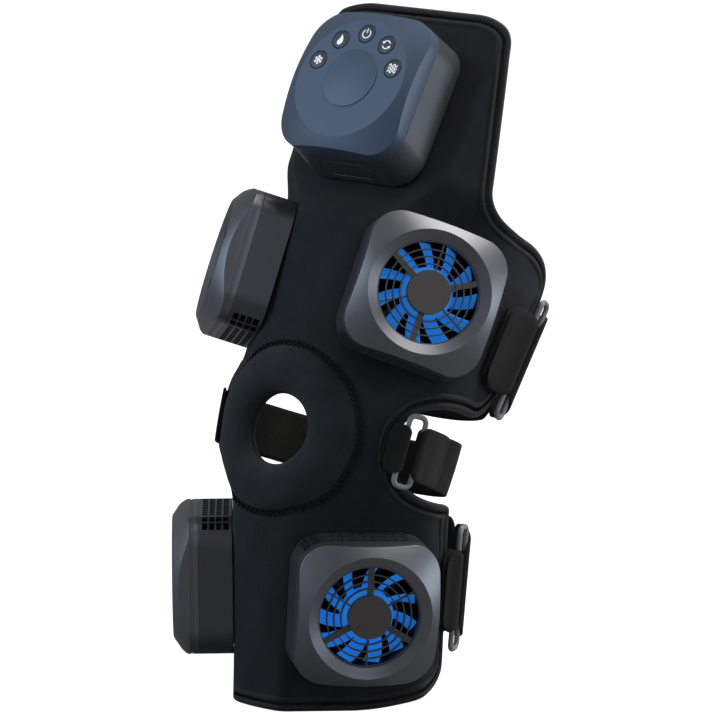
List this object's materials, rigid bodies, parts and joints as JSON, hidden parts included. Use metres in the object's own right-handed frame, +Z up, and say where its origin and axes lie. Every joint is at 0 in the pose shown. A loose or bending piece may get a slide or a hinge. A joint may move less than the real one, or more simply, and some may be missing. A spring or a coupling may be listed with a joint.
{
  "type": "hot cold therapy knee wrap",
  "caption": "Wrap for a bent knee with fan-cooled hot and cold modules, ring straps, an open patella pad and a push-button control box on its thigh tongue.",
  "frame": {"origin": "on the axis of the leg at the knee, where the shin and thigh axes cross", "axes": "+Z up along the shin, -Y towards the kneecap, +X to the side of the strap rings; the thigh leans back towards +Y"},
  "size_m": [0.1994, 0.2031, 0.3792],
  "materials": {
    "neoprene": "matte knit",
    "binding": "matte knit",
    "webbing": "woven webbing",
    "ring": "satin, slightly translucent",
    "module_shell": "satin with a metallic look",
    "guard": "satin",
    "fan_blue": "semi gloss",
    "black_plastic": "satin",
    "aluminium": "brushed",
    "ceramic": "matte",
    "steel": "bright",
    "box_face": "satin with a metallic look",
    "board": "satin",
    "battery": "satin"
  },
  "bodies": {
    "device": {"wrap_body": "neoprene", "edge_binding": "binding", "patella_pad": "neoprene", "upper_strap": "webbing", "middle_strap": "webbing", "lower_strap": "webbing", "upper_ring": "ring", "middle_ring": "ring", "lower_ring": "ring", "ring_keepers": "webbing", "housing_thigh_right": "module_shell", "housing_thigh_left": "module_shell", "housing_shin_right": "module_shell", "housing_shin_left": "module_shell", "cover_thigh_right": "module_shell", "cover_thigh_left": "module_shell", "cover_shin_right": "module_shell", "cover_shin_left": "module_shell", "guard_thigh_right": "guard", "guard_thigh_left": "guard", "guard_shin_right": "guard", "guard_shin_left": "guard", "fan_frame_thigh_right": "black_plastic", "fan_frame_thigh_left": "black_plastic", "fan_frame_shin_right": "black_plastic", "fan_frame_shin_left": "black_plastic", "heat_sink_thigh_right": "aluminium", "heat_sink_thigh_left": "aluminium", "heat_sink_shin_right": "aluminium", "heat_sink_shin_left": "aluminium", "cold_plate_thigh_right": "aluminium", "cold_plate_thigh_left": "aluminium", "cold_plate_shin_right": "aluminium", "cold_plate_shin_left": "aluminium", "vibration_motors": "steel", "thermal_tiles": "ceramic", "clamp_frames": "black_plastic", "clamp_screws": "steel", "control_plate": "black_plastic", "control_rear_shell": "module_shell", "control_front_shell": "box_face", "circuit_board": "board", "battery_pack": "battery", "charging_port": "steel", "board_screws": "steel"},
    "rotor_thigh_right": {"rotor_thigh_right": "fan_blue"},
    "vib_weight_thigh_right": {"vib_weight_thigh_right": "steel"},
    "rotor_thigh_left": {"rotor_thigh_left": "fan_blue"},
    "vib_weight_thigh_left": {"vib_weight_thigh_left": "steel"},
    "rotor_shin_right": {"rotor_shin_right": "fan_blue"},
    "vib_weight_shin_right": {"vib_weight_shin_right": "steel"},
    "rotor_shin_left": {"rotor_shin_left": "fan_blue"},
    "vib_weight_shin_left": {"vib_weight_shin_left": "steel"},
    "cold_button": {"cold_button": "box_face"},
    "heat_button": {"heat_button": "box_face"},
    "power_button": {"power_button": "box_face"},
    "contrast_button": {"contrast_button": "box_face"},
    "vibration_button": {"vibration_button": "box_face"},
    "port_cover": {"port_cover": "black_plastic"}
  },
  "joints": [
    {"name": "fan_spin_thigh_right", "type": "hinge", "parent": "device", "child": "rotor_thigh_right", "pos_m": [0.06677, -0.01789, 0.10704], "axis": [0.7287, -0.6282, 0.2727], "continuous": true},
    {"name": "vibration_spin_thigh_right", "type": "hinge", "parent": "device", "child": "vib_weight_thigh_right", "pos_m": [0.03229, -0.02918, 0.11301], "axis": [0.0204, 0.4179, 0.9083], "continuous": true},
    {"name": "fan_spin_thigh_left", "type": "hinge", "parent": "device", "child": "rotor_thigh_left", "pos_m": [-0.06677, -0.01789, 0.10704], "axis": [-0.7287, -0.6282, 0.2727], "continuous": true},
    {"name": "vibration_spin_thigh_left", "type": "hinge", "parent": "device", "child": "vib_weight_thigh_left", "pos_m": [-0.07734, 0.014, 0.09213], "axis": [-0.0204, 0.4179, 0.9083], "continuous": true},
    {"name": "fan_spin_shin_right", "type": "hinge", "parent": "device", "child": "rotor_shin_right", "pos_m": [0.06081, -0.04959, -0.06559], "axis": [0.7738, -0.6311, -0.0541], "continuous": true},
    {"name": "vibration_spin_shin_right", "type": "hinge", "parent": "device", "child": "vib_weight_shin_right", "pos_m": [0.02732, -0.06474, -0.0647], "axis": [0.0419, -0.0342, 0.9985], "continuous": true},
    {"name": "fan_spin_shin_left", "type": "hinge", "parent": "device", "child": "rotor_shin_left", "pos_m": [-0.06081, -0.04959, -0.06559], "axis": [-0.7738, -0.6311, -0.0541], "continuous": true},
    {"name": "vibration_spin_shin_left", "type": "hinge", "parent": "device", "child": "vib_weight_shin_left", "pos_m": [-0.06891, -0.01375, -0.0647], "axis": [-0.0419, -0.0342, 0.9985], "continuous": true},
    {"name": "cold_press", "type": "slide", "parent": "device", "child": "cold_button", "axis": [0, 0.8695, -0.4939], "range_m": [0, 0.0008], "stiffness_N_per_m": 1500, "springref_m": -0.0003},
    {"name": "heat_press", "type": "slide", "parent": "device", "child": "heat_button", "axis": [0, 0.8695, -0.4939], "range_m": [0, 0.0008], "stiffness_N_per_m": 1500, "springref_m": -0.0003},
    {"name": "power_press", "type": "slide", "parent": "device", "child": "power_button", "axis": [0, 0.8695, -0.4939], "range_m": [0, 0.0008], "stiffness_N_per_m": 1500, "springref_m": -0.0003},
    {"name": "contrast_press", "type": "slide", "parent": "device", "child": "contrast_button", "axis": [0, 0.8695, -0.4939], "range_m": [0, 0.0008], "stiffness_N_per_m": 1500, "springref_m": -0.0003},
    {"name": "vibration_press", "type": "slide", "parent": "device", "child": "vibration_button", "axis": [0, 0.8695, -0.4939], "range_m": [0, 0.0008], "stiffness_N_per_m": 1500, "springref_m": -0.0003},
    {"name": "port_cover_hinge", "type": "hinge", "parent": "device", "child": "port_cover", "pos_m": [0, 0.00042, 0.1635], "axis": [1, 0, 0], "range_deg": [0, 95]}
  ]
}
